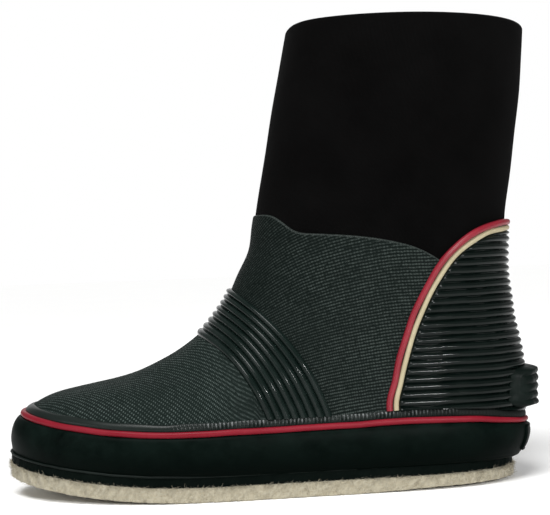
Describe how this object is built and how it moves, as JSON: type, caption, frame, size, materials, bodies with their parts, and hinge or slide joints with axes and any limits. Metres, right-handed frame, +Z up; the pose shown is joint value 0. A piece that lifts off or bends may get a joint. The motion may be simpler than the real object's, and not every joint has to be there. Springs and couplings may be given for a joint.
{
  "type": "neoprene boot",
  "caption": "Mid-calf neoprene boot for water sports with a rubber rand, ribbed heel and instep, and a felt sole; left foot.",
  "frame": {"origin": "on the ground under the middle of the boot's bounding box", "axes": "+Z up, -X towards the toe, +X towards the heel, -Y towards the outer side of the foot"},
  "size_m": [0.3074, 0.112, 0.2624],
  "materials": {
    "felt": "dense pressed wool-coloured felt",
    "sole_rubber": "black sheet rubber",
    "sponge": "grey sponge filler",
    "board": "fibre insole board",
    "neoprene_foam": "neoprene foam sheet",
    "footbed": "fabric topped foam",
    "rand_rubber": "satin vulcanised rubber",
    "red_rubber": "red satin rubber",
    "strip_rubber": "dark grey knurled rubber",
    "cream_rubber": "cream satin rubber",
    "neoprene_black": "matt black knit over neoprene",
    "plush": "matt knit lining",
    "tape": "taped seam",
    "stiffener": "stiff non-woven",
    "mesh_rubber": "woven-textured rubberised fabric",
    "rib_rubber": "satin moulded rubber"
  },
  "bodies": {
    "root": {"felt_sole": "felt", "outsole_sheet": "sole_rubber", "midsole_sponge": "sponge", "insole_board": "board", "sock_sole": "neoprene_foam", "footbed": "footbed", "foxing_band": "rand_rubber", "foxing_stripe": "red_rubber", "foxing_top_strip": "strip_rubber", "heel_label": "rand_rubber", "vamp_foam": "neoprene_black", "heel_foam": "neoprene_black", "shaft_sleeve": "neoprene_black", "foot_lining": "plush", "shaft_lining": "plush", "ankle_seam_tape": "tape", "back_seam_tape": "tape", "toe_puff": "stiffener", "heel_stiffener": "stiffener", "vamp_panel": "mesh_rubber", "quarter_panel": "mesh_rubber", "heel_counter": "rib_rubber", "instep_ribs": "rib_rubber", "heel_piping_red": "red_rubber", "heel_piping_cream": "cream_rubber", "heel_tab": "rib_rubber"}
  },
  "joints": []
}
